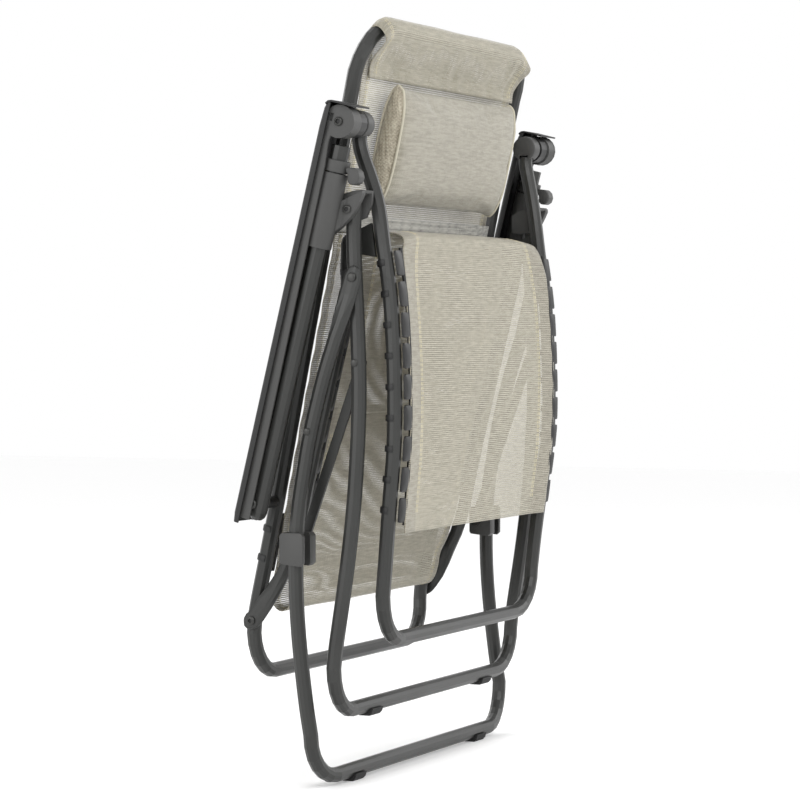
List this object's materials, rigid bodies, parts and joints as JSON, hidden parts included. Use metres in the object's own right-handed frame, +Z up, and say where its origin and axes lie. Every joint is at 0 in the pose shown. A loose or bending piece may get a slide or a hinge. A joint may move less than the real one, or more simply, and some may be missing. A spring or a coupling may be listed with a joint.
{
  "type": "zero gravity recliner",
  "caption": "Folding zero gravity recliner with grey tube frame, ecru mesh sling and head pillow, folded flat and standing on its rear leg loop",
  "frame": {"origin": "centre of the folded chair's bounding box, at the floor", "axes": "+Z up, X across the seat, -Y is the side a sitter's feet face"},
  "size_m": [0.689, 0.2228, 0.9733],
  "materials": {
    "frame_paint": "anthracite satin powder coat",
    "stay_paint": "anthracite satin powder coat",
    "grey_plastic": "moulded grey, slight texture",
    "arm_plastic": "moulded dark grey, fine texture",
    "bolt_paint": "grey, worn edges",
    "foot_rubber": "matt black",
    "black_plastic": "matt black moulding",
    "sling_mesh": "ecru open-weave coated yarn",
    "pillow_cloth": "ecru open-weave coated yarn, padded"
  },
  "bodies": {
    "rear_legs": {"rear_leg_frame": "frame_paint", "rear_foot_left": "foot_rubber", "rear_foot_right": "foot_rubber", "stop_rivet_left": "bolt_paint", "stop_rivet_right": "bolt_paint", "leg_pivot_rivet_left": "bolt_paint", "leg_pivot_rivet_right": "bolt_paint"},
    "front_legs": {"front_leg_frame": "frame_paint", "front_foot_left": "foot_rubber", "front_foot_right": "foot_rubber", "stay_rivet_left": "bolt_paint", "stay_rivet_right": "bolt_paint"},
    "slider": {"slide_bracket_left": "grey_plastic", "slide_bracket_right": "grey_plastic", "slide_bolt_left": "bolt_paint", "slide_bolt_right": "bolt_paint", "clamp_ring_left": "grey_plastic", "clamp_ring_right": "grey_plastic"},
    "lever_left": {"clamp_lever_left": "grey_plastic"},
    "lever_right": {"clamp_lever_right": "grey_plastic"},
    "arms": {"arm_tube_left": "frame_paint", "arm_tube_right": "frame_paint", "arm_cover_left": "arm_plastic", "arm_cover_right": "arm_plastic", "arm_trim_left": "grey_plastic", "arm_trim_right": "grey_plastic", "arm_front_spacer_left": "black_plastic", "arm_front_spacer_right": "black_plastic", "arm_front_bolt_left": "bolt_paint", "arm_front_bolt_right": "bolt_paint", "arm_rear_spacer_left": "black_plastic", "arm_rear_spacer_right": "black_plastic", "arm_rear_bolt_left": "bolt_paint", "arm_rear_bolt_right": "bolt_paint"},
    "back": {"back_frame": "frame_paint", "back_fabric": "sling_mesh", "back_clips_left": "black_plastic", "back_clips_right": "black_plastic"},
    "pillow": {"pillow": "pillow_cloth"},
    "seat": {"seat_rail_left": "frame_paint", "seat_rail_right": "frame_paint", "hip_rivet_left": "bolt_paint", "hip_rivet_right": "bolt_paint", "seat_clips_left": "black_plastic", "seat_clips_right": "black_plastic", "seat_fabric": "sling_mesh"},
    "leg_rest": {"leg_rest_frame": "frame_paint", "calf_fabric": "sling_mesh", "knee_lug_left": "frame_paint", "knee_lug_right": "frame_paint", "leg_rest_hub_left": "grey_plastic", "leg_rest_hub_right": "grey_plastic", "calf_clips_left": "black_plastic", "calf_clips_right": "black_plastic"},
    "stays": {"stay_left": "stay_paint", "stay_right": "stay_paint"},
    "runners": {"runner_left": "grey_plastic", "runner_right": "grey_plastic"}
  },
  "joints": [
    {"name": "fold", "type": "hinge", "parent": "rear_legs", "child": "front_legs", "pos_m": [0, -0.05899, 0.6444], "axis": [-1, 0, 0], "range_deg": [0, 65]},
    {"name": "slider_turn", "type": "hinge", "parent": "front_legs", "child": "slider", "pos_m": [0, -0.05499, 0.7287], "axis": [1, 0, 0], "range_deg": [0, 101.01]},
    {"name": "arm_slide", "type": "slide", "parent": "slider", "child": "arms", "axis": [0, -0.2517, 0.9678], "range_m": [0, 0.06001]},
    {"name": "recline", "type": "hinge", "parent": "arms", "child": "back", "pos_m": [0, 0.06801, 0.3604], "axis": [-1, 0, 0], "range_deg": [0, 135]},
    {"name": "seat_fold", "type": "hinge", "parent": "back", "child": "seat", "pos_m": [0, 0.09901, 0.2074], "axis": [1, 0, 0], "range_deg": [0, 131.17]},
    {"name": "legrest_swing", "type": "hinge", "parent": "seat", "child": "leg_rest", "pos_m": [0, -0.03899, 0.6874], "axis": [-1, 0, 0], "range_deg": [0, 134.03]},
    {"name": "stay_swing", "type": "hinge", "parent": "front_legs", "child": "stays", "pos_m": [0, -0.05949, 0.5379], "axis": [1, 0, 0], "range_deg": [0, 87.88]},
    {"name": "runner_slide", "type": "slide", "parent": "rear_legs", "child": "runners", "axis": [0, -0.09, 0.9959], "range_m": [0, 0.11299]},
    {"name": "lever_turn_left", "type": "hinge", "parent": "slider", "child": "lever_left", "pos_m": [-0.32, -0.06387, 0.77624], "axis": [1, 0, 0], "range_deg": [-35, 8]},
    {"name": "lever_turn_right", "type": "hinge", "parent": "slider", "child": "lever_right", "pos_m": [0.32, -0.06387, 0.77624], "axis": [1, 0, 0], "range_deg": [-35, 8]},
    {"name": "pillow_slide", "type": "slide", "parent": "back", "child": "pillow", "axis": [0, -0.2115, 0.9774], "range_m": [-0.033, 0.02]}
  ],
  "couplings": [
    {"joint": "slider_turn", "follows": "fold", "ratio": 1.554},
    {"joint": "arm_slide", "follows": "fold", "m_per_rad": 0.0529},
    {"joint": "seat_fold", "follows": "recline", "ratio": 0.9716},
    {"joint": "legrest_swing", "follows": "recline", "ratio": 0.9928},
    {"joint": "stay_swing", "follows": "fold", "ratio": 1.352},
    {"joint": "runner_slide", "follows": "fold", "m_per_rad": 0.0996}
  ]
}
